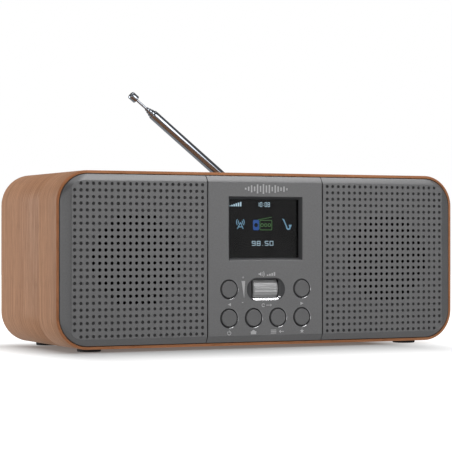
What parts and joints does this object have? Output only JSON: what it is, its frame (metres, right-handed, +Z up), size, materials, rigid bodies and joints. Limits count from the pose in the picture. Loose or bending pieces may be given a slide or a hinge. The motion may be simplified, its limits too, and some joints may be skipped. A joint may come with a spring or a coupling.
{
  "type": "tabletop radio",
  "caption": "Stereo tabletop radio: wood-look sleeve, grey perforated panels, colour display, push buttons, push-and-turn wheel and a telescopic aerial on the back.",
  "frame": {"origin": "on the table under the feet, in the middle of the overall box left to right and front to back", "axes": "+Z up, +X to the right of a person facing the front, +Y from the front towards the back"},
  "size_m": [0.277, 0.1157, 0.1675],
  "materials": {
    "wood_veneer": "satin walnut-look veneer",
    "foot_rubber": "matt",
    "panel_grey": "fine satin grain",
    "cap_grey": "satin",
    "black_plastic": "spark-eroded",
    "lens_glass": "polished",
    "display_panel": "gloss",
    "circuit_board": "solder mask",
    "wheel_silver": "silver paint",
    "steel": "zinc plated",
    "magnet_dark": "ferrite and plated pot",
    "cone_paper": "pressed pulp",
    "surround_rubber": "satin",
    "coil_copper": "enamelled wire",
    "ribbon": "satin",
    "chrome": "polished"
  },
  "bodies": {
    "cabinet": {"cabinet_sleeve": "wood_veneer", "foot_front_left": "foot_rubber", "foot_back_left": "foot_rubber", "foot_front_right": "foot_rubber", "foot_back_right": "foot_rubber", "left_grille": "panel_grey", "right_grille": "panel_grey", "control_fascia": "panel_grey", "front_baffle": "black_plastic", "control_frame": "black_plastic", "wheel_switch": "black_plastic", "rear_cover": "black_plastic", "dc_socket": "black_plastic", "headphone_socket": "black_plastic", "previous_switch": "black_plastic", "next_switch": "black_plastic", "power_switch": "black_plastic", "home_switch": "black_plastic", "menu_switch": "black_plastic", "favourite_switch": "black_plastic", "display_lens": "lens_glass", "display_module": "display_panel", "control_board": "circuit_board", "main_board": "circuit_board", "left_driver_basket": "steel", "right_driver_basket": "steel", "tuner_module": "steel", "cover_screw_1": "steel", "cover_screw_2": "steel", "cover_screw_3": "steel", "cover_screw_4": "steel", "cover_screw_5": "steel", "cover_screw_6": "steel", "left_driver_magnet": "magnet_dark", "right_driver_magnet": "magnet_dark", "left_driver_surround": "surround_rubber", "right_driver_surround": "surround_rubber", "ribbon_cable": "ribbon"},
    "previous_button": {"previous_button": "cap_grey"},
    "next_button": {"next_button": "cap_grey"},
    "power_button": {"power_button": "cap_grey"},
    "home_button": {"home_button": "cap_grey"},
    "menu_button": {"menu_button": "cap_grey"},
    "favourite_button": {"favourite_button": "cap_grey"},
    "wheel_carrier": {"wheel_cradle": "black_plastic", "wheel_axle": "steel"},
    "wheel": {"navigation_wheel": "wheel_silver"},
    "left_cone": {"left_driver_cone": "cone_paper", "left_voice_coil": "coil_copper"},
    "right_cone": {"right_driver_cone": "cone_paper", "right_voice_coil": "coil_copper"},
    "aerial_swivel": {"aerial_base": "chrome", "aerial_screw": "steel", "aerial_hinge_pin": "steel"},
    "aerial_1": {"aerial_section_1": "chrome"},
    "aerial_2": {"aerial_section_2": "chrome"},
    "aerial_3": {"aerial_section_3": "chrome"},
    "aerial_4": {"aerial_section_4": "chrome"},
    "aerial_tip": {"aerial_tip_rod": "chrome", "aerial_tip_cap": "chrome"}
  },
  "joints": [
    {"name": "previous_press", "type": "slide", "parent": "cabinet", "child": "previous_button", "axis": [0, 1, 0], "range_m": [0, 0.0008], "stiffness_N_per_m": 1500, "springref_m": -0.0004},
    {"name": "next_press", "type": "slide", "parent": "cabinet", "child": "next_button", "axis": [0, 1, 0], "range_m": [0, 0.0008], "stiffness_N_per_m": 1500, "springref_m": -0.0004},
    {"name": "power_press", "type": "slide", "parent": "cabinet", "child": "power_button", "axis": [0, 1, 0], "range_m": [0, 0.0008], "stiffness_N_per_m": 1500, "springref_m": -0.0004},
    {"name": "home_press", "type": "slide", "parent": "cabinet", "child": "home_button", "axis": [0, 1, 0], "range_m": [0, 0.0008], "stiffness_N_per_m": 1500, "springref_m": -0.0004},
    {"name": "menu_press", "type": "slide", "parent": "cabinet", "child": "menu_button", "axis": [0, 1, 0], "range_m": [0, 0.0008], "stiffness_N_per_m": 1500, "springref_m": -0.0004},
    {"name": "favourite_press", "type": "slide", "parent": "cabinet", "child": "favourite_button", "axis": [0, 1, 0], "range_m": [0, 0.0008], "stiffness_N_per_m": 1500, "springref_m": -0.0004},
    {"name": "wheel_press", "type": "slide", "parent": "cabinet", "child": "wheel_carrier", "axis": [0, 1, 0], "range_m": [0, 0.0006], "stiffness_N_per_m": 2000, "springref_m": -0.0004},
    {"name": "wheel_turn", "type": "hinge", "parent": "wheel_carrier", "child": "wheel", "pos_m": [0, -0.04955, 0.0373], "axis": [1, 0, 0], "continuous": true},
    {"name": "aerial_turn", "type": "hinge", "parent": "cabinet", "child": "aerial_swivel", "pos_m": [0.0548, 0.05455, 0.086], "axis": [0, 1, 0], "range_deg": [-38, 141]},
    {"name": "aerial_fold", "type": "hinge", "parent": "aerial_swivel", "child": "aerial_1", "pos_m": [0.0548, 0.05455, 0.086], "axis": [-0.6216, 0, -0.7834], "range_deg": [0, 90]},
    {"name": "aerial_pull_2", "type": "slide", "parent": "aerial_1", "child": "aerial_2", "axis": [-0.7834, 0, 0.6216], "range_m": [0, 0.088]},
    {"name": "aerial_pull_3", "type": "slide", "parent": "aerial_2", "child": "aerial_3", "axis": [-0.7834, 0, 0.6216], "range_m": [0, 0.088]},
    {"name": "aerial_pull_4", "type": "slide", "parent": "aerial_3", "child": "aerial_4", "axis": [-0.7834, 0, 0.6216], "range_m": [0, 0.086]},
    {"name": "aerial_pull_tip", "type": "slide", "parent": "aerial_4", "child": "aerial_tip", "axis": [-0.7834, 0, 0.6216], "range_m": [-0.0088, 0.084]},
    {"name": "left_cone_travel", "type": "slide", "parent": "cabinet", "child": "left_cone", "axis": [0, 1, 0], "range_m": [-0.0012, 0.0012], "stiffness_N_per_m": 1200, "deforming": ["left_driver_surround"]},
    {"name": "right_cone_travel", "type": "slide", "parent": "cabinet", "child": "right_cone", "axis": [0, 1, 0], "range_m": [-0.0012, 0.0012], "stiffness_N_per_m": 1200, "deforming": ["right_driver_surround"]}
  ]
}
